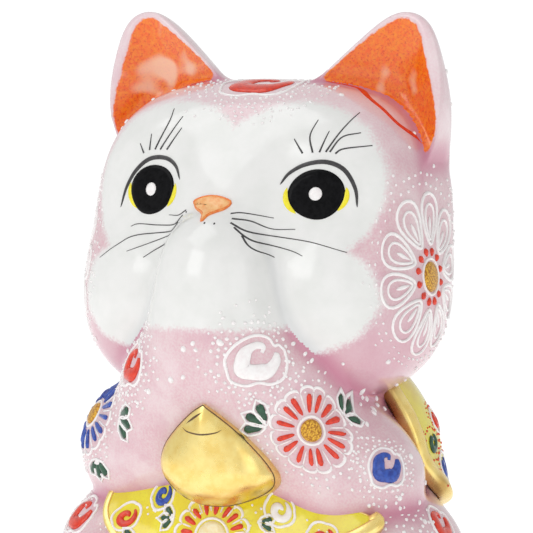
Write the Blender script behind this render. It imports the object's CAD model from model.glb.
# Beckoning cat figurine: the visual model and its studio.
#
# Shapes are worked out in millimetres in the CAD frame (+Z up, the cat looks
# along -Y, its left side is +X) and written to Blender in metres.  The clay is
# one distance field, meshed once and shared out to its pieces, so that the
# glaze runs over the luted joints without a break.  Raised enamel is laid on it.
import math
from collections import namedtuple

import bpy
import numpy as np
import openvdb
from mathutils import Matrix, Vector


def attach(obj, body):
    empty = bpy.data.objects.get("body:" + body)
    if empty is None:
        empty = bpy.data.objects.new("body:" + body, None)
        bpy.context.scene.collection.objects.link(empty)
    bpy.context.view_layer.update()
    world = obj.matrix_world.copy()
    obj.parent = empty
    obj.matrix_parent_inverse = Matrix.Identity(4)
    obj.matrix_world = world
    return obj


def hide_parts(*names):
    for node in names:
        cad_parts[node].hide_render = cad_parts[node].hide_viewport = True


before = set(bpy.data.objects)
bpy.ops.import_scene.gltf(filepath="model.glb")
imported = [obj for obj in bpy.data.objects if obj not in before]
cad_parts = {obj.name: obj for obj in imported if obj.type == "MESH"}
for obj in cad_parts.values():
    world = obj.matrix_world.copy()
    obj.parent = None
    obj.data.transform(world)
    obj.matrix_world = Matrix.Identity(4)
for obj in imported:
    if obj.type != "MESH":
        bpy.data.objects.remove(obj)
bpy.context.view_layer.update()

MM = 0.001
VOXEL = 0.62
TAU = 2 * math.pi
rng = np.random.default_rng(7)

# --- Clay dimensions
# half is [x, y, z up, z down] from the centre, power is the squareness of the
# superellipsoid, lean is how far y moves back per mm of height.
SKULL = dict(centre=(0, 3, 127), half=(46, 29.5, 45.5, 37), power=3.2, lean=0.06)
CHEEK = dict(centre=(23, -5, 117), half=(22.5, 25, 23.5, 23.5), power=2.2)
MUZZLE = dict(centre=(0, -8, 134), half=(23, 25, 24, 26), power=2)
TORSO = dict(centre=(0, 4, 52), half=(41, 33, 52, 62), power=2.4)
BELLY = dict(centre=(0, -3, 40), half=(34, 29, 36, 48), power=2.3)
THIGH = dict(centre=(31, -4, 36), half=(24, 30, 33, 44), power=2.5)
PAW = dict(centre=(4, -28.5, 117.5), half=(10.5, 13, 19, 24), power=2.2)
FOOT = dict(centre=(24, -33, 8), half=(12.5, 15, 10, 12), power=2.3)
# Balls of clay (x, y, z, radius), joined one to the next by round cones.
ARM = [(18, 0, 87, 11), (27.5, -10, 76.8, 17.2), (14, -19.5, 85, 15.5), (12.5, -22.5, 96, 14),
       (6, -25.5, 107, 12)]
LEFT_ELBOW_DROP = 6.3
TAIL = [(8, 37, 15, 9), (24, 38, 12, 9.5), (38, 29, 11, 8.5), (45, 19, 10, 7)]
# The ear is a rounded pyramid: outward normals and distances from the centre.
EAR_CENTRE = (32, 5, 168)
EAR_POWER = 8
EAR_PLANES = [
    ((-0.68, 0.05, 0.73), 16), ((0.975, 0, 0.2), 16.6), ((0.95, 0, -0.32), 16.4),
    ((0.1, -0.985, 0.12), 5.4), ((0.25, 0.1, 0.96), 23.6), ((0, 0.93, 0.37), 12),
    ((0.6, 0.75, 0.25), 14.5), ((-0.5, 0.8, 0.33), 12.5), ((0, 0, -1), 20)]
PIT_CORNERS = [(11.8, -0.8, 173.6), (49.6, 0.6, 148.6), (40.2, 3, 195.6)]
PIT_BOTTOM = (33.5, 9.5, 170)
DRAIN = dict(y=20, radius=8, top=14)
# How softly lumps of clay run together inside a part, how far its rims are
# rounded, and how softly parts are luted: arm to arm, both arms to the rest, others.
HEAD_SOFT, BODY_SOFT, ARM_SOFT, TAIL_SOFT, PIT_SOFT = 8, 7, 9, 5, 4.5
PIT_RIM, DRAIN_RIM, FOOT_RIM = 0.9, 0.8, 1.2
ARMS_MEET, ARMS_LUTED = 20, 3.2
FILLETS = {"body": 5, "left_ear": 2.5, "right_ear": 2.5, "left_foot": 3, "right_foot": 3, "tail": 3}
TINY = 1e-3  # keeps a division finite
STEP = 0.05  # mm, over which a field's slope is measured


# --- Fields
def unit(v):
    """Vectors made 1 long."""
    v = np.asarray(v, float)
    return v / np.maximum(np.linalg.norm(v, axis=-1, keepdims=True), 1e-6)


def smooth_min(a, b, k):
    h = np.maximum(k - np.abs(a - b), 0) / k
    return np.minimum(a, b) - h * h * k / 4


def smooth_max(a, b, k):
    return -smooth_min(-a, -b, k)


def superellipsoid(p, centre, half, power, lean=0.0, side=1):
    z = p[:, 2] - centre[2]
    hz = np.where(z > 0, half[2], half[3])
    ax = np.abs(p[:, 0] - centre[0] * side) / half[0]
    ay = np.abs(p[:, 1] - centre[1] - lean * z) / half[1]
    az = np.abs(z) / hz
    size = np.maximum((ax ** power + ay ** power + az ** power) ** (1 / power), TINY)
    slope = np.sqrt(((ax / size) ** (power - 1) / half[0]) ** 2
                    + ((ay / size) ** (power - 1) / half[1]) ** 2
                    + ((az / size) ** (power - 1) / hz) ** 2)
    return (size - 1) / np.maximum(slope, TINY)


def round_cone(p, start, end, side=1):
    a = np.array(start[:3]) * (side, 1, 1)
    axis = np.array(end[:3]) * (side, 1, 1) - a
    t = np.clip((p - a) @ axis / (axis @ axis), 0, 1)
    reach = np.linalg.norm(p - a - t[:, None] * axis, axis=1)
    return reach - (start[3] + (end[3] - start[3]) * t)


def chain(p, balls, k, side=1):
    value = round_cone(p, balls[0], balls[1], side)
    for start, end in zip(balls[1:], balls[2:]):
        value = smooth_min(value, round_cone(p, start, end, side), k)
    return value


def head_field(p):
    value = superellipsoid(p, **SKULL)
    for side in (1, -1):
        value = smooth_min(value, superellipsoid(p, **CHEEK, side=side), HEAD_SOFT)
    return smooth_min(value, superellipsoid(p, **MUZZLE), HEAD_SOFT)


def body_field(p):
    value = superellipsoid(p, **TORSO)
    for side in (1, -1):
        value = smooth_min(value, superellipsoid(p, **THIGH, side=side), BODY_SOFT)
    return smooth_min(value, superellipsoid(p, **BELLY), BODY_SOFT)


def arm_field(p, side):
    x, y, z, radius = ARM[1]
    elbow = (x, y, z - LEFT_ELBOW_DROP if side > 0 else z, radius)
    balls = [ARM[0], elbow, *ARM[2:]]
    return smooth_min(chain(p, balls, ARM_SOFT, side), superellipsoid(p, **PAW, side=side), ARM_SOFT)


def pit_field(p, side):
    bottom = np.array(PIT_BOTTOM) * (side, 1, 1)
    corners = [np.array(c) * (side, 1, 1) for c in PIT_CORNERS]
    value = None
    for a, b in zip(corners, corners[1:] + corners[:1]):
        d = (p - bottom) @ unit(np.cross(a - bottom, b - bottom)) * -side
        value = d if value is None else smooth_max(value, d, PIT_SOFT)
    return value


def ear_outer(p, side):
    q = p - np.array(EAR_CENTRE) * (side, 1, 1)
    parts = []
    for normal, distance in EAR_PLANES:
        n = unit(np.array(normal) * (side, 1, 1))
        parts.append((np.maximum(q @ n, 0) / distance, n / distance))
    size = np.maximum(sum(v ** EAR_POWER for v, _ in parts) ** (1 / EAR_POWER), TINY)
    slope = sum(((v / size) ** (EAR_POWER - 1))[:, None] * n for v, n in parts)
    return (size - 1) / np.maximum(np.linalg.norm(slope, axis=1), TINY)


def ear_field(p, side):
    return smooth_max(ear_outer(p, side), -pit_field(p, side), PIT_RIM)


PARTS = {
    "head": head_field,
    "body": body_field,
    "left_arm": lambda p: arm_field(p, 1),
    "right_arm": lambda p: arm_field(p, -1),
    "left_ear": lambda p: ear_field(p, 1),
    "right_ear": lambda p: ear_field(p, -1),
    "left_foot": lambda p: superellipsoid(p, **FOOT, side=1),
    "right_foot": lambda p: superellipsoid(p, **FOOT, side=-1),
    "tail": lambda p: chain(p, TAIL, TAIL_SOFT),
}


def clay(p):
    """All the clay, with the flat foot and the drain hole cut away."""
    value = head_field(p)
    for name, softness in FILLETS.items():
        value = smooth_min(value, PARTS[name](p), softness)
    arms = smooth_min(arm_field(p, 1), arm_field(p, -1), ARMS_MEET)
    value = smooth_min(value, arms, ARMS_LUTED)
    drain = np.maximum(np.hypot(p[:, 0], p[:, 1] - DRAIN["y"]) - DRAIN["radius"], p[:, 2] - DRAIN["top"])
    return smooth_max(smooth_max(value, -p[:, 2], FOOT_RIM), -drain, DRAIN_RIM)


def in_chunks(field, p, size=400000):
    return np.concatenate([field(p[i:i + size]) for i in range(0, len(p), size)])


def gradient(field, p):
    return np.stack([(field(p + s) - field(p - s)) / (2 * STEP) for s in np.eye(3) * STEP], axis=1)


def normals_of(field, p):
    return unit(gradient(field, p))


# --- Meshing
BOX_LOW, BOX_HIGH = np.array([-64.0, -56.0, -4.0]), np.array([64.0, 56.0, 196.0])
COARSE = 4  # voxels to a coarse cell
NEAR = 2.6  # coarse cells from the skin, within which each voxel is worked out
OUTSIDE = 50.0  # mm, the field's value beyond the grid
LONGEST_STEP = 0.4  # mm, of a point on its way to the exact skin
FLATTEST = 0.2  # of the squared gradient


def clay_mesh():
    """Points and quads of the clay's skin."""
    counts = np.ceil((BOX_HIGH - BOX_LOW) / VOXEL).astype(int) + 1
    coarse = [BOX_LOW[i] + VOXEL * np.arange(counts[i])[::COARSE] for i in range(3)]
    grid = np.stack(np.meshgrid(*coarse, indexing="ij"), axis=-1)
    fine = in_chunks(clay, grid.reshape(-1, 3)).reshape(grid.shape[:3])
    for axis in range(3):
        fine = np.repeat(fine, COARSE, axis)
    fine = np.ascontiguousarray(fine[:counts[0], :counts[1], :counts[2]])
    near = np.argwhere(np.abs(fine) < COARSE * VOXEL * NEAR)
    fine[tuple(near.T)] = in_chunks(clay, BOX_LOW + near * VOXEL)
    level = openvdb.FloatGrid(OUTSIDE)
    level.copyFromArray(fine.astype(np.float32))
    points, quads = level.convertToQuads(isovalue=0.0)
    points = BOX_LOW + points.astype(float) * VOXEL
    for _ in range(2):
        g = in_chunks(lambda q: gradient(clay, q), points)
        step = in_chunks(clay, points) / np.maximum((g * g).sum(axis=1), FLATTEST)
        points = points - np.clip(step, -LONGEST_STEP, LONGEST_STEP)[:, None] * g
    return points, quads


# --- Meshes
def make_mesh(name, verts, faces, material, normals=None):
    mesh = bpy.data.meshes.new(name)
    mesh.from_pydata((np.asarray(verts) * MM).tolist(), [], [tuple(map(int, f)) for f in faces])
    mesh.polygons.foreach_set("use_smooth", [True] * len(mesh.polygons))
    mesh.materials.append(material)
    if normals is not None:
        mesh.normals_split_custom_set_from_vertices(np.asarray(normals).tolist())
    obj = bpy.data.objects.new(name, mesh)
    bpy.context.scene.collection.objects.link(obj)
    return obj


def keep(obj, node):
    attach(obj, "root")
    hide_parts(node)


def solid(piece, node, finish, verts, faces):
    """A piece in one of the finishes, standing in for a CAD node."""
    material, slot = FINISHES[finish]
    keep(make_mesh(piece, verts, faces, material), node)


def shell(points, faces, normals, thickness):
    """A skin of some thickness: (points, faces, normals), outer points first."""
    edges = np.concatenate([faces[:, [0, 1]], faces[:, [1, 2]], faces[:, [2, 3]], faces[:, [3, 0]]])
    codes = edges[:, 0] * len(points) + edges[:, 1]
    twins = edges[:, 1] * len(points) + edges[:, 0]
    rim = edges[~np.isin(twins, codes)]
    n = len(points)
    walls = np.stack([rim[:, 1], rim[:, 0], rim[:, 0] + n, rim[:, 1] + n], axis=1)
    return (np.concatenate([points, points - normals * thickness]),
            np.concatenate([faces, faces[:, ::-1] + n, walls]),
            np.concatenate([normals, -normals]))


def ring_faces(rows, columns, closed_rows=False, closed_columns=True):
    """Quads of a grid of points numbered row by row."""
    i = np.arange(rows if closed_rows else rows - 1)[:, None]
    j = np.arange(columns if closed_columns else columns - 1)[None, :]
    i2, j2 = (i + 1) % rows, (j + 1) % columns
    quads = np.stack(np.broadcast_arrays(i * columns + j, i * columns + j2,
                                         i2 * columns + j2, i2 * columns + j), axis=-1)
    return quads.reshape(-1, 4)


# --- Materials
COAT_ROUGHNESS = 0.06


def srgb(r, g, b):
    """Linear colour from the 0-255 values of a paint chart."""
    return tuple(((c / 255 + 0.055) / 1.055) ** 2.4 if c > 10 else c / 255 / 12.92 for c in (r, g, b))


class Wiring:
    """Short ways to add nodes to a node tree."""

    def __init__(self, tree):
        self.tree = tree

    def wire(self, socket, value):
        if isinstance(value, bpy.types.NodeSocket):
            self.tree.links.new(value, socket)
        else:
            socket.default_value = (*value, 1) if isinstance(value, tuple) else value

    def node(self, kind, output, inputs=None, **settings):
        """Adds a node, sets or wires its inputs, and gives one of its outputs."""
        node = self.tree.nodes.new(kind)
        for key, value in settings.items():
            setattr(node, key, value)
        for key, value in (inputs or {}).items():
            self.wire(node.inputs[key], value)
        return node.outputs[output]

    def ramp(self, value, low, high, to_low=0.0, to_high=1.0):
        span = {"From Min": low, "From Max": high, "To Min": to_low, "To Max": to_high}
        return self.node("ShaderNodeMapRange", "Result", {"Value": value, **span},
                         interpolation_type="SMOOTHSTEP")

    def mix(self, amount, a, b, kind="RGBA"):
        return self.node("ShaderNodeMix", "Result", {"Factor": amount, "A": a, "B": b}, data_type=kind)


class Finish(Wiring):
    """A Principled material, with noise and painted numbers to colour it by."""

    def __init__(self, name, roughness, metallic=0.0, coat=0.0):
        self.material = bpy.data.materials.new(name)
        self.material.use_nodes = True
        super().__init__(self.material.node_tree)
        self.shader = self.tree.nodes["Principled BSDF"].inputs
        for key, value in (("Roughness", roughness), ("Metallic", metallic), ("Coat Weight", coat),
                           ("Coat Roughness", COAT_ROUGHNESS)):
            self.shader[key].default_value = value
        self.place = self.node("ShaderNodeTexCoord", "Object")

    def noise(self, size, detail=3, roughness=0.6):
        """Noise from 0 to 1 whose lumps are about size mm across."""
        return self.node("ShaderNodeTexNoise", "Fac", {
            "Vector": self.place, "Scale": 1 / (size * MM), "Detail": detail, "Roughness": roughness})

    def maths(self, operation, a, b):
        return self.node("ShaderNodeMath", 0, {0: a, 1: b}, operation=operation)

    def painted(self, name):
        return self.node("ShaderNodeAttribute", "Fac", attribute_name=name)

    def mottle(self, base, size, low, high, amount, other, **noise):
        """Patches of another colour over a base."""
        return self.mix(self.ramp(self.noise(size, **noise), low, high, 0, amount), base, srgb(*other))

    def colour(self, value):
        self.wire(self.shader["Base Color"], value)

    def bump(self, size, detail, strength, distance):
        """Unevenness of the surface, distance mm high."""
        normal = self.node("ShaderNodeBump", "Normal", {
            "Strength": strength, "Distance": distance * MM, "Height": self.noise(size, detail)})
        self.wire(self.shader["Normal"], normal)


def enamel(name, light, dark, lump=1.2, roughness=0.16, shine=0.5):
    """Glossy raised enamel: thick paint that pools darker here and there."""
    f = Finish(name + "_enamel", roughness, coat=0.4 * shine)
    f.wire(f.shader["Specular IOR Level"], shine)
    f.colour(f.mottle(srgb(*light), lump, 0.35, 0.7, 1, dark))
    f.bump(0.8, 2, 0.25, 0.12)
    return f.material


def glaze_material():
    """Pink sprayed over white, deeper in the creases, with fired orange in the ear pits."""
    f = Finish("pink_glaze", 0.16, coat=0.35)
    pink = f.mottle(srgb(228, 202, 205), 0.55, 0.3, 0.72, 1, (224, 180, 190), detail=2)
    pink = f.mottle(pink, 14, 0.4, 0.72, 0.6, (240, 224, 226))
    pink = f.mottle(pink, 10, 0.5, 0.75, 0.6, (218, 170, 184), detail=4)
    pale = f.maths("MULTIPLY", f.painted("blush"), -1.0)
    pink = f.mix(f.ramp(f.painted("blush"), 0, 1, 0, 0.65), pink, srgb(212, 162, 176))
    pink = f.mix(f.ramp(pale, 0, 1, 0, 0.4), pink, srgb(248, 234, 237))
    pink = f.mix(f.ramp(f.painted("crease"), 0.05, 1, 0, 0.95), pink, srgb(202, 124, 150))
    white = f.mottle(srgb(241, 241, 239), 9, 0.3, 0.7, 1, (234, 235, 232))
    white = f.mix(f.ramp(f.painted("crease"), 0.3, 1, 0, 0.4), white, srgb(196, 200, 205))
    edge = f.maths("ADD", f.painted("pink"), f.ramp(f.noise(5), 0, 1, -0.7, 0.7))
    edge = f.maths("ADD", edge, f.ramp(f.noise(0.7, detail=2), 0, 1, -0.9, 0.9))
    body = f.mix(f.ramp(edge, -1.0, 1.4), white, pink)
    fired = f.mottle(srgb(248, 98, 0), 1.1, 0.35, 0.68, 1, (252, 142, 10), detail=5, roughness=0.7)
    fired = f.mottle(fired, 0.6, 0.5, 0.68, 0.85, (222, 70, 2), detail=4)
    fired = f.mottle(fired, 9, 0.56, 0.72, 0.75, (255, 216, 186), detail=1)
    pit = f.maths("ADD", f.painted("pit"), f.ramp(f.noise(1.5), 0, 1, -0.35, 0.35))
    f.colour(f.mix(f.ramp(pit, -0.1, 0.3), body, fired))
    f.bump(6, 1, 0.1, 0.5)
    return f.material


def gold_material(name, brown):
    """Gold lustre, fired browner in broad patches where brown is more than 0."""
    f = Finish(name, 0.13, metallic=1.0)
    tone = f.mottle(srgb(248, 226, 148), 4, 0.3, 0.75, 1, (238, 206, 118))
    tone = f.mottle(tone, 24, 0.4, 0.6, brown, (146, 98, 50), detail=1)
    f.colour(f.mottle(tone, 1.2, 0.64, 0.8, 0.4, (170, 120, 56), detail=5))
    f.wire(f.shader["Roughness"], f.ramp(f.noise(2.2), 0.3, 0.8, 0.26, 0.36))
    f.bump(6, 1, 0.1, 0.2)
    return f.material


def stipple_material():
    """Gold laid on in grains."""
    f = Finish("gold_stipple", 0.3, metallic=0.45)
    f.colour(f.mottle(srgb(236, 186, 66), 0.45, 0.4, 0.6, 1, (170, 106, 34)))
    f.bump(0.45, 3, 0.8, 0.3)
    return f.material


def cloth_material(name, light, dark):
    """Yellow overglaze enamel brushed over the moulded cloth."""
    f = Finish(name, 0.14, coat=0.6)
    tone = f.mottle(srgb(*light), 7, 0.35, 0.7, 1, dark)
    f.colour(f.mottle(tone, 0.7, 0.5, 0.75, 0.4, (214, 190, 40)))
    f.bump(2.5, 2, 0.2, 0.2)
    return f.material


glaze = glaze_material()
# Each finish is a material and the slot it has in the record.
FINISHES = {
    "gold": (gold_material("gold_lustre", 0.0), "gold_lustre"),
    "worn_gold": (gold_material("worn_gold_lustre", 0.85), "gold_lustre"),
    "stipple": (stipple_material(), "gold_lustre"),
    "bib": (cloth_material("bib_yellow", (242, 229, 38), (236, 214, 28)), "yellow_glaze"),
    "cape": (cloth_material("cape_yellow", (240, 228, 60), (228, 208, 60)), "yellow_glaze"),
}
# Slot, light and dark paint, and where they differ lump, roughness and shine.
ENAMELS = {
    "yellow": ("yellow_glaze", (252, 240, 44), (244, 226, 24)),
    "white": ("white_enamel", (252, 250, 249), (246, 240, 240)),
    "red": ("red_enamel", (236, 60, 22), (208, 38, 12)),
    "blue": ("blue_enamel", (44, 86, 184), (24, 54, 146)),
    "green": ("blue_enamel", (36, 88, 60), (20, 62, 44)),
    "black": ("black_enamel", (20, 20, 22), (8, 8, 10), 1.2, 0.08, 0.06),
    "line": ("black_enamel", (38, 36, 38), (60, 58, 60), 1.2, 0.3),
    "orange": ("orange_enamel", (240, 118, 34), (246, 150, 70)),
    "peach": ("orange_enamel", (252, 196, 130), (246, 160, 84), 1.6),
    "umber": ("gold_lustre", (104, 68, 30), (66, 42, 20)),
    "cream": ("white_enamel", (250, 240, 205), (246, 226, 170)),
}
FINISHES.update({name: (enamel(name, *look), slot) for name, (slot, *look) in ENAMELS.items()})

# --- Clay
# CAD nodes that have another name than their part here.
NODES = {"head": "head_casting", "body": "body_casting", "left_foot": "left_hind_foot",
         "right_foot": "right_hind_foot"}
SKIN = 1.6  # mm, thickness of the modelled clay
CREASE_REACH = 6  # mm from a crease, over which the pink deepens
# Ovals that the white face is made of: x, z, half-width, half-height.
FACE_OVALS = [(16.8, 145.5, 23.5, 22), (23.5, 118.5, 18, 14), (0, 130, 23, 21)]
PAW_WHITE = 111  # the paws are white above this height
ALL_PINK, NO_PIT = 9.0, -2.0  # painted where there is no white, and no ear pit
PIT_INSET = 0.5  # mm inside the ear's outer skin, where the orange starts


def pinkness(p, name):
    """Distance in mm into the pink, negative in the white of the face and paws."""
    if name.endswith("arm"):
        return (PAW_WHITE - p[:, 2]) * 0.9
    if name != "head":
        return np.full(len(p), ALL_PINK)
    ovals = [(np.hypot((np.abs(p[:, 0]) - x) / wide, (p[:, 2] - z) / tall) - 1) * min(wide, tall)
             for x, z, wide, tall in FACE_OVALS]
    return np.maximum(np.min(ovals, axis=0), p[:, 1] * 0.7)


def blush(p, name):
    """How much deeper (up to 1) or paler (down to -1) the pink is sprayed."""
    if name in ("head", "left_ear", "right_ear"):
        return np.clip((128 - p[:, 2]) / 24, 0, 1) - np.clip((p[:, 2] - 150) / 24, 0, 1)
    return 0.3 * np.sin(p[:, 2] / 9) * np.cos(p[:, 0] / 11)


def build_clay():
    """Meshes the clay, shares it out to its parts and paints it."""
    points, quads = clay_mesh()
    owner = part_at(points[quads].mean(axis=1))
    fields = part_fields(points)
    arms = [i for i, name in enumerate(PARTS) if name.endswith("arm")]
    both = fields[:, arms].min(axis=1, keepdims=True)
    fields = np.concatenate([np.delete(fields, arms, axis=1), both], axis=1)
    crease = np.clip(1 - np.sort(fields, axis=1)[:, 1] / CREASE_REACH, 0, 1)
    normals = in_chunks(lambda q: normals_of(clay, q), points)
    for i, name in enumerate(PARTS):
        faces = quads[owner == i]
        used, inverse = np.unique(faces, return_inverse=True)
        own = points[used]
        verts, polygons, shading = shell(own, inverse.reshape(faces.shape), normals[used], SKIN)
        obj = make_mesh(name + "_clay", verts, polygons, glaze, shading)
        keep(obj, NODES.get(name, name))
        side = -1 if name.startswith("right") else 1
        depth = -ear_outer(own, side) - PIT_INSET if name.endswith("ear") else np.full(len(own), NO_PIT)
        for label, values in (("pink", pinkness(own, name)), ("crease", crease[used]), ("pit", depth),
                              ("blush", blush(own, name))):
            layer = obj.data.attributes.new(label, "FLOAT", "POINT")
            layer.data.foreach_set("value", np.tile(values, 2).astype(np.float32))


# --- Laying enamel
class Board:
    """A flat sheet that touches the glaze at a point, on which a motif is drawn
    in mm: u to the right and v up, as seen from outside.  A straight board
    pushes its marks straight back on to the glaze, any other wraps them on."""

    def __init__(self, centre, facing, field=clay, straight=False):
        self.centre = np.asarray(centre, float)
        self.facing = unit(facing)
        up = (0, 0, 1) if abs(self.facing[2]) < 0.9 else (0, 1, 0)
        self.right = unit(np.cross(up, self.facing))
        self.up = np.cross(self.facing, self.right)
        self.field, self.straight = field, straight

    def at(self, uv):
        return self.centre + uv[:, :1] * self.right + uv[:, 1:] * self.up


Mark = namedtuple("Mark", "piece finish board uv heights faces")
marks = []
SINK = 0.25  # how far enamel reaches into the glaze
ARCH = np.cos(np.linspace(math.pi, 0, 7))  # across a bead of enamel


def run_of(path):
    """Unit vectors along a flat path and across it, to the right."""
    along = unit(np.gradient(path, axis=0))
    return along, np.stack([along[:, 1], -along[:, 0]], axis=1)


def stroke(piece, finish, board, path, widths, height=0.5, closed=False):
    """A bead of enamel along a path, with one width per point."""
    path = np.asarray(path, float)
    n = len(path)
    widths = np.broadcast_to(widths, n)
    across = run_of(np.concatenate([path[-1:], path, path[:1]]))[1][1:-1] if closed else run_of(path)[1]
    sides = np.concatenate([ARCH, [0.6, -0.6]])
    rise = np.concatenate([np.sqrt(1 - ARCH ** 2), [0, 0]])
    uv = path[:, None, :] + across[:, None, :] * (widths[:, None, None] / 2) * sides[None, :, None]
    swell = np.minimum(widths / max(widths.max(), 1e-6), 1) ** 0.5
    h = height * swell[:, None] * rise[None, :]
    h[:, -2:] = -SINK
    k = len(sides)
    faces = [tuple(f) for f in ring_faces(n, k, closed)[:, ::-1]]
    if not closed:
        faces += [tuple(range(k)), tuple(range(n * k - 1, n * k - k - 1, -1))]
    marks.append(Mark(piece, finish, board, uv.reshape(-1, 2), h.reshape(-1), faces))


def fill(piece, finish, board, outline, height=0.5, rings=5, centre=None):
    """A domed patch of enamel inside an outline that its centre can see all of."""
    outline = np.asarray(outline, float)
    centre = outline.mean(axis=0) if centre is None else np.asarray(centre, float)
    n = len(outline)
    steps = np.sin(np.linspace(0, math.pi / 2, rings + 1))[1:]
    uv = [centre + (outline - centre) * s for s in steps]
    h = [np.full(n, height * math.sqrt(max(1 - s ** 4, 0))) for s in steps]
    uv = np.concatenate([[centre], *uv, outline, [centre]])
    h = np.concatenate([[height], *h, np.full(n, -SINK), [-SINK]])
    last = len(uv) - 1
    faces = [(0, 1 + i, 1 + (i + 1) % n) for i in range(n)]
    faces += [tuple(f + 1) for f in ring_faces(rings + 1, n)[:, ::-1]]
    faces += [(last, last - n + (i + 1) % n, last - n + i) for i in range(n)]
    area = np.sum(outline[:, 0] * np.roll(outline[:, 1], -1) - outline[:, 1] * np.roll(outline[:, 0], -1))
    if area < 0:
        faces = [f[::-1] for f in faces]
    marks.append(Mark(piece, finish, board, uv, h, faces))


def polar(angle, radius):
    return np.stack([radius * np.cos(angle), radius * np.sin(angle)], axis=-1)


def circle(radius, count, centre=(0, 0)):
    return centre + polar(np.arange(count) * TAU / count, radius)


def dots(piece, finish, board, places, radii, height=0.4):
    for (u, v), r in zip(places, np.broadcast_to(radii, len(places))):
        fill(piece, finish, board, circle(r, 9, (u, v)), min(height, r * 0.8), rings=2)


def smooth_path(points, count):
    """Catmull-Rom curve through points."""
    p = np.asarray(points, float)
    p = np.concatenate([[2 * p[0] - p[1]], p, [2 * p[-1] - p[-2]]])
    t = np.linspace(0, len(p) - 3 - 1e-6, count)
    i = t.astype(int)
    f = (t - i)[:, None]
    a, b, c, d = p[i], p[i + 1], p[i + 2], p[i + 3]
    return 0.5 * (2 * b + (c - a) * f + (2 * a - 5 * b + 4 * c - d) * f ** 2
                  + (3 * b - a - 3 * c + d) * f ** 3)


def even(n, width, ends=0.25):
    t = np.linspace(-1, 1, n)
    return width * np.maximum((1 - np.abs(t) ** 6) ** 0.5, ends)


def tapered(n, width, power=0.8):
    return width * np.maximum(np.sin(np.linspace(0, math.pi, n)) ** power, 0.12)


def teardrop(n, width):
    t = np.linspace(0, 1, n)
    return width * np.maximum(np.sin(math.pi * t ** 1.3) ** 0.6, 0.25)


def club(n, width):
    """Narrow at the start and blunt at the end, as a loaded brush leaves it."""
    t = np.linspace(0, 1, n)
    return width * (0.5 + 0.5 * t ** 0.7) * np.maximum((1 - np.abs(2 * t - 1) ** 6) ** 0.5, 0.45)


def petal_loop(angle, start, end, width, count=22):
    """The outline of a petal that widens outwards."""
    t = np.arange(count) * TAU / count
    out = (1 - np.cos(t)) / 2
    r = start + (end - start) * out
    s = width / 2 * np.sin(t) * (0.45 + 0.75 * out)
    d = polar(angle, 1.0)
    return r[:, None] * d + s[:, None] * np.array([-d[1], d[0]])


def fence(piece, board, path, width=0.8, height=0.4):
    """The closed white line round a patch of colour."""
    stroke(piece, "white", board, path, width, height, closed=True)


def spoke(angle, start, end, count):
    return polar(np.full(count, angle), np.linspace(start, end, count))


def chrysanthemum(piece, finish, board, radius, petals=10, florets=12):
    """The big outlined flower with a ring of florets round a stippled gold heart."""
    heart = radius * 0.18
    wide = TAU * radius / petals * 0.74
    fill(piece, "stipple", board, circle(heart, 28), 0.8)
    fence(piece, board, circle(heart + 0.7, 32), 0.8, 0.45)
    for a in TAU * (np.arange(florets) + 0.5) / florets:
        stroke(piece, finish, board, spoke(a, heart + 1.5, heart + 3.6, 6), teardrop(6, 1.9), 0.7)
    for a in TAU * (np.arange(petals) + 0.25) / petals:
        fence(piece, board, petal_loop(a, heart + 4.4, radius, wide), 1.0, 0.5)
        fence(piece, board, petal_loop(a, heart + 5.6, radius * 0.87, wide * 0.56), 0.8, 0.45)
        stroke(piece, "white", board, spoke(a, heart + 6.6, radius * 0.72, 7), teardrop(7, 1.2), 0.5)


def daisy(piece, finish, board, radius, petals=15, heart_finish="stipple", heart_share=0.26):
    """Coloured teardrop petals round a heart, each fenced with a white line."""
    heart = radius * heart_share
    fill(piece, heart_finish, board, circle(heart, 24), 0.8)
    fence(piece, board, circle(heart + 0.7, 28))
    for i in range(petals):
        a = TAU * i / petals + rng.uniform(-0.04, 0.04)
        path = polar(a + np.linspace(0, rng.uniform(-0.06, 0.06), 8),
                     np.linspace(heart + 1.7, radius * rng.uniform(0.82, 0.88), 8))
        stroke(piece, finish, board, path, club(8, radius * rng.uniform(0.13, 0.16)), 0.7)
        tip = polar(a + np.linspace(-0.5, 0.5, 9) * TAU / petals,
                    radius * (0.88 + 0.12 * np.sqrt(np.maximum(1 - np.linspace(-1, 1, 9) ** 2, 0))))
        stroke(piece, "white", board, tip, even(9, 0.9), 0.42)
        gap = spoke(a + math.pi / petals, heart + 2.6, radius * 0.88, 6)
        stroke(piece, "white", board, gap, even(6, 0.5), 0.34)


def leaves(piece, board, angles, length=4.6, width=2.5, reach=1.8, rim=0.6):
    """A spray of green leaves, each fenced with a white line."""
    for angle in angles:
        bend = rng.uniform(-0.12, 0.12)
        path = polar(math.radians(angle) + np.linspace(0, bend, 8), np.linspace(reach, reach + length, 8))
        widths = club(8, width)
        along, across = run_of(path)
        gap = across * (widths[:, None] / 2 + rim)
        tip = path[-1] + along[-1] * (widths[-1] / 2 + rim * 1.4)
        stem = path[0] - along[0] * (widths[0] / 2 + rim * 1.4)
        fence(piece, board, np.concatenate([[stem], path + gap, [tip], (path - gap)[::-1]]), 0.75)
        stroke(piece, "green", board, path, widths, 0.6)


def swirl(piece, finish, board, size, fenced=True):
    """A curled cloud: a thick hook of enamel with a lobed back."""
    t = np.linspace(0, 1, 26)
    path = polar(0.4 + t * TAU * 1.08, size * (0.14 + 0.62 * t ** 0.85))
    widths = size * (0.26 + 0.34 * np.sin(math.pi * np.clip(t * 0.95, 0, 1)) ** 0.7)
    widths[-4:] *= np.linspace(1, 0.45, 4)
    stroke(piece, finish, board, path, widths, 0.65)
    if fenced:
        a = np.arange(40) * TAU / 40
        lobes = size * (1.1 + 0.09 * np.abs(np.sin(a * 2.5)))
        fence(piece, board, polar(a, lobes))


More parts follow.
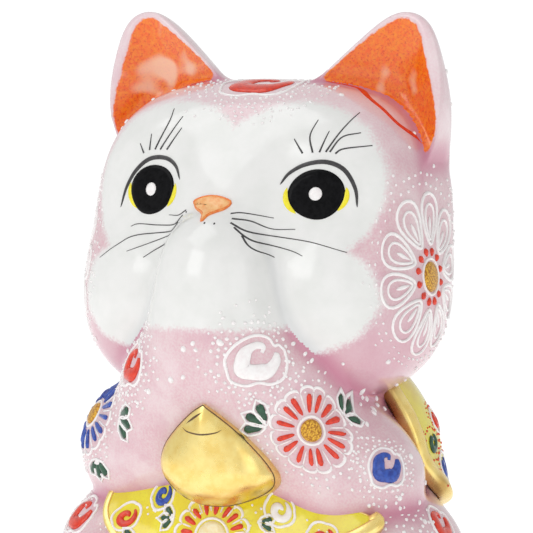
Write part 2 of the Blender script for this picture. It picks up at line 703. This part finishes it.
# A curled cloud in units of its size, from the thin tail round to the hook:
# u, v, width.
CLOUD = [(0.84, 0.44, 0.28), (0.76, -0.04, 0.56), (0.42, -0.5, 0.78), (-0.1, -0.55, 0.86),
         (-0.5, -0.4, 0.86), (-0.54, 0.05, 0.84), (-0.42, 0.5, 0.64), (-0.1, 0.78, 0.42),
         (0.26, 0.72, 0.3), (0.2, 0.42, 0.22)]
CLOUD_FENCE = [(1.2, 0.62), (1.24, -0.1), (1.06, -0.86), (0.6, -1.16), (0.1, -1.08), (-0.4, -1.24),
               (-0.96, -1.02), (-1.12, -0.5), (-1.2, 0.1), (-0.98, 0.66), (-0.6, 1.08), (-0.06, 1.3),
               (0.5, 1.16), (0.74, 0.8), (0.96, 0.86)]


def cloud(piece, finish, board, size, wide=1.0):
    """A thick comma-shaped cloud inside a white line."""
    spine = smooth_path(CLOUD, 44) * (size * wide, size, size)
    lobes = 1 + 0.07 * np.sin(np.linspace(0, 5 * TAU, len(spine)))
    stroke(piece, finish, board, spine[:, :2], spine[:, 2] * lobes, 0.7)
    around = smooth_path(CLOUD_FENCE + CLOUD_FENCE[:1], 60)[:-1] * (size * wide, size)
    fence(piece, board, around, 0.85, 0.42)


def dot_field(piece, finish, board, inner, outer, gap=1.75, small=0.32, large=0.55):
    """Dots in loose rings round a motif, thinning out as they go."""
    places = []
    for r in np.arange(inner, outer, gap):
        a = np.arange(int(TAU * r / gap)) * TAU / int(TAU * r / gap) + rng.uniform(0, TAU)
        chosen = rng.uniform(0, 1, len(a)) < 1.15 - (r - inner) / (outer - inner)
        places.append(polar(a[chosen], r) + rng.uniform(-0.4, 0.4, (chosen.sum(), 2)))
    places = np.concatenate(places)
    dots(piece, finish, board, places, rng.uniform(small, large, len(places)))


def part_fields(p):
    return np.stack([in_chunks(f, p) for f in PARTS.values()], axis=1)


def part_at(p):
    """Which lump of clay each point lies nearest to."""
    return part_fields(p).argmin(axis=1)


def nearest(field, q):
    """Moves points to the nearest place on a skin; q also holds their way back."""
    p = q[:, :3]
    for _ in range(4):
        value = field(p)
        g = np.stack([(field(p + s) - value) / STEP for s in np.eye(3) * STEP], axis=1)
        p = p - np.clip(value, -4, 4)[:, None] * g / np.maximum((g * g).sum(axis=1), 0.3)[:, None]
    return p


def straight_back(field, q):
    """Moves points (x, y, z) along their way back (x, y, z) until they meet a skin."""
    p, back = q[:, :3], q[:, 3:]
    for _ in range(40):
        p = p + back * (field(p) * 0.85)[:, None]
    return p


HOME_SHARE = 0.7  # of a mark's points that have to lie on the lump of clay it is meant for
STRETCH, STRETCH_ROOM = 1.3, 0.15  # how much longer than drawn, and mm more, a mark may get


def settle():
    """Lays every mark on its glaze and makes one mesh per piece and finish."""
    groups, placed, pieces = {}, {}, {}
    for i, mark in enumerate(marks):
        groups.setdefault((mark.board.field, mark.board.straight), []).append(i)
    for (field, straight), members in groups.items():
        start = np.concatenate([marks[i].board.at(marks[i].uv) for i in members])
        back = np.concatenate([np.tile(-marks[i].board.facing, (len(marks[i].uv), 1)) for i in members])
        press = straight_back if straight else nearest
        points = in_chunks(lambda q: press(field, q), np.concatenate([start, back], axis=1))
        normals = in_chunks(lambda q: normals_of(field, q), points)
        wrapping = field is clay and not straight
        owners = part_at(points) if wrapping else np.zeros(len(points))
        at = 0
        for i in members:
            here = slice(at, at + len(marks[i].uv))
            home = part_at(marks[i].board.centre[None])[0] if wrapping else 0
            if (owners[here] == home).mean() > HOME_SHARE:
                placed[i] = points[here] + normals[here] * marks[i].heights[:, None]
            at = here.stop
    for i, mark in enumerate(marks):
        longest = STRETCH * np.ptp(mark.uv, axis=0).max() + STRETCH_ROOM
        if i not in placed or np.ptp(placed[i], axis=0).max() > longest:
            continue  # it would cross a crease on to another lump of clay
        verts, polygons = pieces.setdefault((mark.piece, mark.finish), ([], []))
        base = sum(map(len, verts))
        verts.append(placed[i])
        polygons.extend(tuple(base + np.asarray(f)) for f in mark.faces)
    for (piece, finish), (verts, polygons) in pieces.items():
        solid(f"{piece}.{finish}", piece, finish, np.concatenate(verts), polygons)


build_clay()

# --- Bib and cape
WRAP_AXIS_Y = 2  # of the upright line that both are wrapped round
CLOTH, CAPE = 2.4, 4.2  # mm that they stand off the body
UNDER = 0.4  # mm that both reach into the body
# Each side of a cloth: half-angle covered in degrees, two powers that round its
# outline, and the half-angle at its top, where it may be tucked under an arm.
BIB = dict(top=76, bottom=42, left=(65.5, 3, 2.0, 30), right=(54, 2, 0.75, 54), forward=-1)
BACK = dict(top=97, bottom=60, left=(88, 6, 0.5, 88), right=(88, 6, 0.5, 88), forward=1)
TUCK = 0.4  # share of the cloth's height over which it is tucked in
CAPE_LOW, CAPE_RISE = 58, 24  # height at which the cape starts to lift, and mm over which it does
MIN_STEP = 0.02  # mm between two rings of a roll, which would fall together at its lowest point


def wrap_angle(cloth, z, side):
    """How far round the body a cloth reaches at a height, in radians."""
    t = np.clip((cloth["top"] - z) / (cloth["top"] - cloth["bottom"]), 0, 1)
    spread, first, second, top = cloth["left" if side > 0 else "right"]
    tucked = top + (spread * 0.88 - top) * np.clip(t / TUCK, 0, None)
    angle = spread * np.maximum(1 - t ** first, 0) ** second
    return np.radians(np.minimum(angle, tucked) if top < spread else angle)


def bib_skin(p):
    return body_field(p) - CLOTH


def cape_skin(p):
    """The cape stands off the back, and furthest over the two shoulder blades."""
    angle = np.arctan2(np.abs(p[:, 0]), p[:, 1] - WRAP_AXIS_Y)
    high = np.clip((p[:, 2] - CAPE_LOW) / CAPE_RISE, 0, 1)
    flare = 1.8 * np.exp(-((angle - 1.13) / 0.33) ** 2) * high
    return body_field(p) - CAPE + 1.4 * (1 - high) - flare


def wrapped(cloth, skin, angle, z):
    """Points of a skin in the given directions round the body."""
    way = np.stack([np.sin(angle), cloth["forward"] * np.cos(angle), np.zeros_like(angle)], axis=1)
    axis = np.stack([np.zeros_like(z), np.full_like(z, WRAP_AXIS_Y), z], axis=1)
    reach = np.full(len(z), 70.0)
    for _ in range(60):
        reach = reach - skin(axis + way * reach[:, None]) * 0.8
    return axis + way * reach[:, None]


def cloth_sheet(piece, cloth, skin, finish, rows=46, columns=110):
    """A closed sheet between a skin and just inside the body."""
    z = np.linspace(cloth["bottom"] + 0.3, cloth["top"], rows)
    share = np.linspace(-1, 1, columns)
    left, right = (wrap_angle(cloth, z, side)[:, None] for side in (1, -1))
    angle = (share * np.where(share > 0, left, right)).ravel()
    verts = np.concatenate([wrapped(cloth, side, angle, np.repeat(z, columns))
                            for side in (skin, lambda p: body_field(p) + UNDER)])
    n = rows * columns
    front = ring_faces(rows, columns, closed_columns=False)
    ids = np.arange(n).reshape(rows, columns)
    rim = np.concatenate([ids[0, :], ids[1:, -1], ids[-1, -2::-1], ids[-2:0:-1, 0]])
    after = np.roll(rim, -1)
    walls = np.stack([rim, rim + n, after + n, after], axis=1)
    faces = np.concatenate([front, front[:, ::-1] + n, walls])[:, ::-cloth["forward"]]
    solid(piece + ".cloth", piece, finish, verts, faces)


def rope(piece, node, finish, path, radius, out, sides=24, squash=1.0, round_power=0.6):
    """A solid squarish roll along a path, thinner across than along out by squash."""
    n = len(path)
    along = unit(np.gradient(path, axis=0))
    u = unit(out - (out * along).sum(axis=1, keepdims=True) * along)
    v = np.cross(along, u)
    a = np.arange(sides) * TAU / sides
    c, s = (np.sign(w) * np.abs(w) ** round_power for w in (np.cos(a), np.sin(a)))
    ring = u[:, None, :] * (c * squash)[None, :, None] + v[:, None, :] * s[None, :, None]
    verts = (path[:, None, :] + ring * np.broadcast_to(radius, n)[:, None, None]).reshape(-1, 3)
    faces = [tuple(f) for f in ring_faces(n, sides)]
    faces += [tuple(range(sides - 1, -1, -1)), tuple(range((n - 1) * sides, n * sides))]
    solid(piece, node, finish, verts, faces)


def cloth_edge(piece, cloth, skin, finish, radius, sink, count=240):
    """The gilded roll round the edge of a cloth, puckered like pressed clay."""
    t = np.linspace(-1, 1, count)
    drop = np.minimum((1 - np.abs(t) ** 1.6) * 1.02, 1)
    z = cloth["top"] - (cloth["top"] - cloth["bottom"]) * drop
    angle = np.where(t > 0, wrap_angle(cloth, z, 1), -wrap_angle(cloth, z, -1))
    path = wrapped(cloth, lambda p: skin(p) + sink, angle, z)
    for _ in range(5):
        path[1:-1] = (path[:-2] + 2 * path[1:-1] + path[2:]) / 4
    apart = np.append(True, np.linalg.norm(np.diff(path, axis=0), axis=1) > MIN_STEP)
    path, t = path[apart], t[apart]
    pucker = 1 + 0.03 * np.sin(t * 19) + 0.025 * np.sin(t * 47 + 1)
    rope(piece + ".roll", piece, finish, path, radius(t) * pucker, normals_of(skin, path), squash=0.85)


def bib_roll(t):
    """Radius of the bib's edge: thickest on the cat's left, and thin where it is tucked in."""
    return np.where(t > 0.75, 0.4, 0.9 + np.clip(t * 3, 0, 1))


def cape_roll(_):
    return 2.6


cloth_sheet("bib", BIB, bib_skin, "bib")
cloth_edge("bib_edge", BIB, bib_skin, "gold", bib_roll, 0.3)
cloth_sheet("back_cape", BACK, cape_skin, "cape")
cloth_edge("back_cape_edge", BACK, cape_skin, "worn_gold", cape_roll, 1.6)

# --- Bell
BELL_MIDDLE = np.array([2, 75])
BELL_FRONT, BELL_BACK = -45.5, -30
BELL_RIM = (-43, -31)  # the furthest forward and back that the rim may rest on the arms
FORWARD = np.array([[0, -1.0, 0]])
BELL_SKIRT = 3.5  # mm that the wall goes back from the rim
BELL_OUTLINE = [(1.8, 92), (5.8, 89), (10.2, 85.4), (13.8, 81.8), (16.8, 78), (18.7, 73.8), (17.4, 70.6),
                (12.2, 67.6), (4.6, 65.4), (-3, 65.6), (-8.6, 68.2), (-12, 72), (-12.4, 76.4),
                (-10.4, 81.2), (-6.6, 85.6), (-2, 89.6)]
FLAP_SLOPE = 0.62  # of the small facet under the tip of the bell
# Lines on the bell, from the tip.
LIP = [(-5.6, -6), (-3.6, -7), (0.4, -7.5), (4, -7), (5.4, -6.2)]
CREASE = [(-4.4, -5), (-2, -3.4), (0.2, -2)]
SLITS = [(-9.4, 72.2), (-8.4, 71), (-7.6, 70), (-4.6, 67.8)]


def bell_front(xz, share, rim_y, tip_y):
    """How far forward the bell stands at a share of the way out to its rim."""
    y = BELL_FRONT + (rim_y - BELL_FRONT) * (1 - np.sqrt(np.maximum(1 - share ** 2.6, 0)))
    return smooth_max(y, tip_y - (BELL_OUTLINE[0][1] - xz[..., 1]) * FLAP_SLOPE, 0.5)


def build_bell(count=120, rings=44):
    """The gold dome, resting on the arms behind it, and the dark lines on it."""
    loop = smooth_path(BELL_OUTLINE + BELL_OUTLINE[:1], count + 1)[:-1]
    start = np.stack([loop[:, 0], np.full(count, -60.0), loop[:, 1]], axis=1)
    back = np.tile([0.0, 1.0, 0.0], (count, 1))
    rim_y = straight_back(clay, np.concatenate([start, back], axis=1))[:, 1].clip(*BELL_RIM) - 1.0
    for _ in range(6):
        rim_y = (np.roll(rim_y, 1) + 2 * rim_y + np.roll(rim_y, -1)) / 4
    shares = np.sin(np.linspace(0, math.pi / 2, rings + 1))[1:]
    xz = BELL_MIDDLE + (loop - BELL_MIDDLE)[None] * shares[:, None, None]
    y = bell_front(xz, shares[:, None], rim_y[None], rim_y[0])
    dome = np.stack([xz[..., 0], y, xz[..., 1]], axis=-1).reshape(-1, 3)
    skirt = dome[-count:] + (0, BELL_SKIRT, 0)
    poles = [[[BELL_MIDDLE[0], pole, BELL_MIDDLE[1]]] for pole in (BELL_FRONT, BELL_BACK)]
    verts = np.concatenate([poles[0], dome, skirt, poles[1]])
    last = len(verts) - 1
    faces = [(0, 1 + (i + 1) % count, 1 + i) for i in range(count)]
    faces += [tuple(f + 1) for f in ring_faces(rings + 1, count)]
    faces += [(last, last - count + i, last - count + (i + 1) % count) for i in range(count)]
    solid("bell.dome", "bell", "gold", verts, faces)
    around, reaches = np.arctan2(*(loop - BELL_MIDDLE).T), np.linalg.norm(loop - BELL_MIDDLE, axis=1)
    order = np.argsort(around)

    def line(name, path, radius):
        """A dark line drawn on the gold."""
        path = np.asarray(path, float)
        angle = np.arctan2(*(path - BELL_MIDDLE).T)
        reach, rim = (np.interp(angle, around[order], v[order], period=TAU) for v in (reaches, rim_y))
        share = np.minimum(np.linalg.norm(path - BELL_MIDDLE, axis=1) / reach, 1)
        places = np.stack([path[:, 0], bell_front(path, share, rim, rim_y[0]), path[:, 1]], axis=1)
        rope(f"bell.{name}", "bell", "umber", places, radius, FORWARD, sides=8, round_power=1.0)

    edge = BELL_MIDDLE + (loop - BELL_MIDDLE) * 0.985
    line("rim_line", np.concatenate([edge, edge[:1]]), 0.17)
    line("lip_line", smooth_path(np.add(LIP, BELL_OUTLINE[0]), 30), tapered(30, 0.22))
    line("crease_line", smooth_path(np.add(CREASE, BELL_OUTLINE[0]), 16), tapered(16, 0.3))
    for x, z in SLITS:
        line(f"slit_{z:.0f}", np.linspace((x - 0.9, z + 0.7), (x + 0.9, z - 0.7), 8), tapered(8, 0.14))


build_bell()

# --- Face: x and z of everything drawn on it, in mm
face = Board((0, -60, 0), (0, -1, 0), straight=True)
EYES = {1: (24.3, 144.6), -1: (-21.4, 145.0)}
EYE_HALF = (7.1, 6.1)
LIDS = {1: [(15.2, 146.8), (17, 149.6), (20.8, 151.8), (26, 152.5), (30.6, 150.6), (33.6, 146),
            (34.4, 141.2)],
        -1: [(-31.6, 140), (-30.2, 145), (-27.4, 149.6), (-23.4, 152.6), (-18.6, 152.9), (-15, 151),
             (-12.8, 147.6)]}
LASHES = {1: [[(16.9, 158.2), (19.7, 154.6)], [(22, 163), (20.9, 159), (22.3, 154.8)],
              [(25.5, 160.2), (24, 154.9)], [(30.9, 164.8), (28.2, 160), (25.6, 155)],
              [(32.9, 159.8), (28.9, 158.7), (26.6, 155)], [(36, 156.6), (29.8, 155.8), (28, 154.6)]],
          -1: [[(-27.3, 156.4), (-25.6, 154)], [(-24.2, 158.9), (-23.9, 154.8)],
               [(-19.4, 165.4), (-19.6, 162), (-22.2, 155)], [(-15.9, 163.5), (-20.6, 155)],
               [(-15.3, 160.6), (-18.6, 155)]]}
WHISKERS = [
    [(-8.7, 140.1), (-11.3, 138.7), (-14.8, 138.6)], [(5.1, 139.6), (7.8, 139.7), (14.7, 138.4)],
    [(-9.5, 138.8), (-12.1, 136.4), (-18.4, 135.9), (-24.8, 136), (-27.2, 135.3)],
    [(6.1, 138.4), (9.9, 137.7), (14.5, 135.7), (20, 135.6)],
    [(-10.3, 137), (-13.3, 134.6), (-25.1, 133.1), (-30.4, 130.7), (-36.5, 127)],
    [(6.4, 137.4), (12.7, 134.4), (24.6, 132.4), (33.6, 130)],
    [(-12, 133.9), (-16.3, 132.7), (-27.2, 129)], [(7.6, 136.3), (12.9, 132.4), (20, 130.1), (22.6, 129)],
    [(-14.2, 131.7), (-18.6, 129.6), (-21.9, 127.6)], [(9.8, 134.3), (12, 131.4), (15.8, 128.6)]]
FRECKLES = [(-8.4, 139.6), (-6.7, 139), (-8.4, 138), (-5.8, 137.7), (-9.9, 137.4), (1.3, 138.5),
            (3.9, 139.1), (0.2, 137.3), (2.8, 137.2), (5.1, 137)]
NOSE_MIDDLE = np.array([-0.9, 141.2])
NOSE = [(-7, 142.3), (-5.8, 140.7), (-3.4, 139.8), (-1.8, 139), (-0.9, 137.4), (0, 138.9), (1.6, 139.8),
        (3.6, 140.7), (4.6, 142.4), (1.9, 143.6), (-1.3, 144), (-4.6, 143.5)]

INNER_CORNER = {1: 285, -1: 250}  # direction in degrees of the pulled-down corner of each eye
CRESCENTS = ((-42, 14), (168, 232))  # degrees of the eye's rim that have yellow beside them


def eye(side):
    """Black with a white glint, two yellow crescents, a lid line and lashes."""
    piece = "left_eye" if side > 0 else "right_eye"
    middle = np.array(EYES[side])
    a = np.arange(48) * TAU / 48
    pull = 0.9 * np.exp(-((a - math.radians(INNER_CORNER[side])) / 0.7) ** 2)
    outline = middle + polar(a, 1.0) * EYE_HALF + pull[:, None] * (0.2 * side, -0.6)
    fill(piece, "black", face, outline, 0.75, rings=8, centre=middle)
    fill(piece, "white", face, circle(1.95, 16, middle - (0.1, 0.2)), 1.15, rings=3)
    for ends in CRESCENTS:
        crescent = middle + polar(np.radians(np.linspace(*ends, 20)), 1.0) * np.add(EYE_HALF, (0.4, 0.3))
        stroke(piece, "yellow", face, crescent, tapered(20, 1.5, 0.6), 0.3)
    stroke(piece, "line", face, smooth_path(LIDS[side], 40), tapered(40, 1.15, 0.4), 0.3)
    for lash in LASHES[side]:
        stroke(piece, "line", face, smooth_path(lash, 14), np.linspace(0.26, 0.5, 14), 0.16)


def nose_and_whiskers():
    loop = NOSE_MIDDLE + (smooth_path(NOSE + NOSE[:2], 41)[:-1] - NOSE_MIDDLE) * 0.94
    fill("nose", "peach", face, loop, 0.7, rings=6)
    stroke("nose", "orange", face, NOSE_MIDDLE + (loop - NOSE_MIDDLE) * 0.96, 0.6, 0.5, closed=True)
    for hair in WHISKERS:
        stroke("nose", "line", face, smooth_path(hair, 30), np.linspace(0.34, 0.18, 30), 0.14)
    dots("nose", "line", face, FRECKLES, 0.24, 0.18)


for side in (1, -1):
    eye(side)
nose_and_whiskers()

# --- Motifs
EAR_LINE = [(15.9, 172.6), (24.9, 170.6), (33.2, 166.2), (39, 161), (42.4, 156.8)]
TOE_LINE = [(1, 13), (1.08, 10), (1.1, 6)]  # share of its place across the foot, and height
# How each motif is drawn and in which colour, centre, outward direction, size
# (and width), how far loose dots keep off, and its dots' inner and outer radius and gap.
MOTIFS = {
    "nape_flower": (chrysanthemum, "red", (0, 33, 135), (0, 1, 0), (19,), 21, (21, 34, 2.4)),
    "crown_cloud": (cloud, "red", (0.5, -6, 172), (0, -0.2, 1), (7, 1.25), 11, (10.5, 24, 2.1)),
    "left_arm_flower": (daisy, "red", (27.7, -33.3, 85.4), (0.6, -0.79, 0.1), (11.3,), 14, (13, 18, 2.3)),
    "left_wrist_cloud": (cloud, "white", (14.8, -39.4, 103), (0.45, -0.89, 0.1), (5.0, 1.3), 8, (8, 16)),
    "left_elbow_cloud": (cloud, "blue", (43.8, -21.8, 76.4), (0.8, -0.6, 0), (4.6,), 7, (7, 13)),
    "right_arm_flower": (daisy, "blue", (-40, -20.8, 86), (-0.7, -0.62, 0.35), (11.6,), 14, (13, 20, 2.3)),
    "right_arm_cloud": (cloud, "red", (-22.6, -35.8, 100.6), (-0.55, -0.8, 0.25), (4.6,), 7, (6.6, 15)),
}
# Sprays of leaves: centre, outward direction, angles, and a length and width of their own.
SPRAYS = {
    "left_arm_flower": [((17.8, -38.6, 86.2), (0.2, -0.98, -0.1), (110, 148, 186)),
                        ((34.4, -25.6, 89.4), (0.6, -0.65, 0.45), (88, 44, 2), 3.6, 2.2)],
    "right_arm_flower": [((-28.6, -33.5, 86.6), (-0.45, -0.9, 0), (22, -18, -56)),
                         ((-36.5, -28, 75.5), (-0.5, -0.87, -0.1), (235, 265, 295), 4)],
}
single = list(MOTIFS)
for side, name in ((1, "left"), (-1, "right")):
    MOTIFS[name + "_cheek_flower"] = (chrysanthemum, "red", (46.5 * side, -4, 123), (side, -0.08, 0.05),
                                      (21.5,), 23, (23.5, 31, 3))
    MOTIFS[name + "_thigh_flower"] = (daisy, "red" if side > 0 else "blue", (55 * side, -2, 34),
                                      (side, 0, 0.05), (11.5,), 13, (13, 24))
    SPRAYS[name + "_thigh_flower"] = [((53 * side, -14, 26), (side, -0.5, 0), (200, 235, 270)),
                                      ((53 * side, 12, 40), (side, 0.4, 0), (20, 55, 90))]
# Centres and sizes of other places that loose dots keep off: face, cape and bib.
CLEARINGS = [((0, -30, 140), 27), ((0, 34, 70), 40), ((0, -40, 58), 38)]
CLEARINGS += [(centre, clear) for _, _, centre, _, _, clear, _ in MOTIFS.values()]


def motif(name):
    draw, finish, centre, facing, size, _, field = MOTIFS[name]
    board = Board(centre, facing)
    draw(name, finish, board, *size)
    for place, way, angles, *shape in SPRAYS.get(name, ()):
        leaves(name, Board(place, way), angles, *shape)
    dot_field(name, "white", board, *field)


for side, name in ((1, "left"), (-1, "right")):
    motif(f"{name}_cheek_flower")
    stroke(f"{name}_ear", "red", face, smooth_path([(side * x, z) for x, z in EAR_LINE], 30),
           tapered(30, 0.26, 0.3), 0.16)
    motif(f"{name}_thigh_flower")
    foot = Board((24 * side, -60, 0), (0, -1, 0), straight=True)
    for u in (-5, 0, 5):
        toe = smooth_path([(u * share, v) for share, v in TOE_LINE], 12)
        stroke(f"{name}_hind_foot", "line", foot, toe, tapered(12, 0.7), 0.2)
for name in single:
    motif(name)
cloud("right_knee_cloud", "red", Board((-42.8, -24.4, 60), (-0.48, -0.62, 0.62)), 4.6)
cloud("left_knee_cloud", "red", Board((50, -3, 59.5), (0.85, -0.1, 0.5)), 4.4)
for side, name in ((1, "left"), (-1, "right")):
    knee = Board((47 * side, -16, 57), (0.8 * side, -0.4, 0.5))
    dot_field(f"{name}_knee_cloud", "white", knee, 2, 15, 2)


def loose_dots(piece, middle, count, distance=75, into_pink=2.5):
    """Stray dots flicked on to the pink from all round a middle point."""
    way = rng.normal(size=(count, 3))
    way = unit(way * (1, 1, 0.5))
    places = np.asarray(middle) + way * distance
    spots = straight_back(clay, np.concatenate([places, -way], axis=1))
    for place, facing, spot in zip(places, way, spots):
        name = list(PARTS)[part_at(spot[None])[0]]
        if pinkness(spot[None], name)[0] > into_pink and all(
                np.linalg.norm(spot - centre) > clear for centre, clear in CLEARINGS):
            board = Board(place, facing, straight=True)
            dots(piece, "white", board, [(0, 0)], rng.uniform(0.45, 0.85), 0.45)


def bib_motifs():
    def at(x, z):
        return Board((x, -40, z), (x / 45, -1, 0.1), field=bib_skin)

    daisy("bib", "red", at(-0.5, 58.5), 11.2, petals=17, heart_finish="cream", heart_share=0.38)
    for x, z, finish, size in ((-27.3, 65.3, "red", 3.8), (-17.8, 70, "blue", 3.3),
                               (18.6, 67.7, "white", 3.7), (30, 62.6, "red", 4.3),
                               (-17, 52, "blue", 3.2), (17, 52, "blue", 3.2)):
        swirl("bib", finish, at(x, z), size)
    for x, z, angles in ((-13, 63.6, (130, 180, 230)), (13, 63.6, (20, -30)), (-23, 58.5, (160, 210)),
                         (23, 58, (-10, -60))):
        leaves("bib", at(x, z), angles, length=3, width=1.5, reach=0.6)
    for x in range(-33, 36, 3):
        height = 58 + 8 * math.sin(x * 1.7)
        dots("bib", "white", at(x, height), [(0, 0), (1.5, 1.1), (-1, 1.8)], 0.36)


def cape_motifs():
    back = Board((0, 41, 75), (0, 1, 0), field=cape_skin)
    daisy("back_cape", "red", back, 12, petals=16, heart_finish="cream")
    for angle in (30, 150, 210, 330):
        spot = back.at(polar(np.array([math.radians(angle)]), 17.0))[0]
        leaves("back_cape", Board(spot, (0, 1, 0), field=cape_skin), (angle - 30, angle, angle + 30))
    for side in (1, -1):
        for x, y, z, finish in ((43, 18, 86, "red"), (45, 16, 73, "blue"), (32, 33, 88, "blue"),
                                (30, 34, 66, "red"), (45, 10, 80, "green")):
            board = Board((x * side, y, z), (side, 0.5, 0.1), field=cape_skin)
            swirl("back_cape", finish, board, 3.4, fenced=finish != "green")
            dot_field("back_cape", "red", board, 4.8, 7, small=0.25, large=0.4)


bib_motifs()
cape_motifs()
dot_field("tail", "white", Board((30, 45, 13), (0.3, 1, 0.3)), 1, 16, 2.6, 0.3, 0.6)
for piece, middle, count in (("crown_cloud", (0, 4, 134), 240), ("left_wrist_cloud", (14, -8, 90), 130),
                             ("right_arm_cloud", (-14, -8, 90), 130), ("left_thigh_flower", (10, 0, 34), 110),
                             ("right_thigh_flower", (-10, 0, 34), 110)):
    loose_dots(piece, middle, count)
settle()

# --- Studio, in metres and watts
AZIMUTH, ELEVATION = math.radians(25), math.radians(3.5)
DISTANCE = 1.1
VIEW_WIDTH = 0.1386  # across the picture, at the cat
VIEW_HEIGHT, VIEW_SHIFT = 0.1242, -0.0006  # of the point looked at, up and to the right
AIM = (0, 0, 0.1)
# Place, point lit, size and power of each soft lamp.
LAMPS = {"key": ((-0.5, -1.1, 0.75), (0, 0, 0.12), 0.6, 2.3), "top": ((-0.5, -0.45, 1.3), AIM, 0.8, 2.8),
         "front": ((0.15, -1.35, 0.3), AIM, 1.1, 0.7), "fill": ((1.1, -0.7, 0.5), AIM, 0.8, 1.35)}
DIM, BRIGHT = 0.31, 0.62  # the room and its ceiling, as they light the cat
BACKDROP, MIRRORED = 1.05, 0.8  # the room as the camera and as the gloss see it
FLOOR = 2000  # mm, half its width
scene = bpy.context.scene


def place(name, data, where, look):
    """Puts a camera or a lamp in the scene, facing along look."""
    obj = bpy.data.objects.new(name, data)
    obj.location = Vector(where)
    obj.rotation_euler = Vector(look).to_track_quat("-Z", "Y").to_euler()
    scene.collection.objects.link(obj)
    return obj


def studio_room():
    """White to the camera; to the glaze, a bright ceiling over a dimmer room."""
    world = scene.world = bpy.data.worlds.new("studio")
    world.use_nodes = True
    w = Wiring(world.node_tree)
    background = w.tree.nodes["Background"].inputs
    way = w.node("ShaderNodeTexCoord", "Generated")
    room = w.ramp(w.node("ShaderNodeSeparateXYZ", "Z", {"Vector": way}), -0.2, 0.95, DIM, BRIGHT)
    for ray, strength in (("Is Camera Ray", BACKDROP), ("Is Glossy Ray", MIRRORED)):
        room = w.mix(w.node("ShaderNodeLightPath", ray), room, strength, "FLOAT")
    w.wire(background["Color"], (1, 1, 1))
    w.wire(background["Strength"], room)


def paper_material():
    """Pale paper that is lit a little from below."""
    f = Finish("paper", 0.9)
    f.colour(f.mix(f.noise(30), (0.9, 0.9, 0.9), (0.94, 0.94, 0.94)))
    f.wire(f.shader["Emission Color"], (1.0, 1.0, 1.0))
    f.wire(f.shader["Emission Strength"], 0.5)
    return f.material


look = np.array([-math.sin(AZIMUTH) * math.cos(ELEVATION), math.cos(AZIMUTH) * math.cos(ELEVATION),
                 -math.sin(ELEVATION)])
right = np.array([math.cos(AZIMUTH), math.sin(AZIMUTH), 0])
target = np.array([0, 0, VIEW_HEIGHT]) + right * VIEW_SHIFT
lens = bpy.data.cameras.new("camera")
lens.lens = lens.sensor_width * DISTANCE / VIEW_WIDTH
scene.camera = place("camera", lens, target - look * DISTANCE, look)
scene.view_settings.view_transform = "Standard"
studio_room()
for name, (where, aim, size, power) in LAMPS.items():
    lamp = bpy.data.lights.new(name, "AREA")
    lamp.size = size
    lamp.energy = power
    place(name, lamp, where, Vector(aim) - Vector(where))
corners = [(x * FLOOR, y * FLOOR, 0) for x, y in ((-1, -1), (1, -1), (1, 1), (-1, 1))]
floor = make_mesh("floor", corners, [(0, 1, 2, 3)], paper_material())
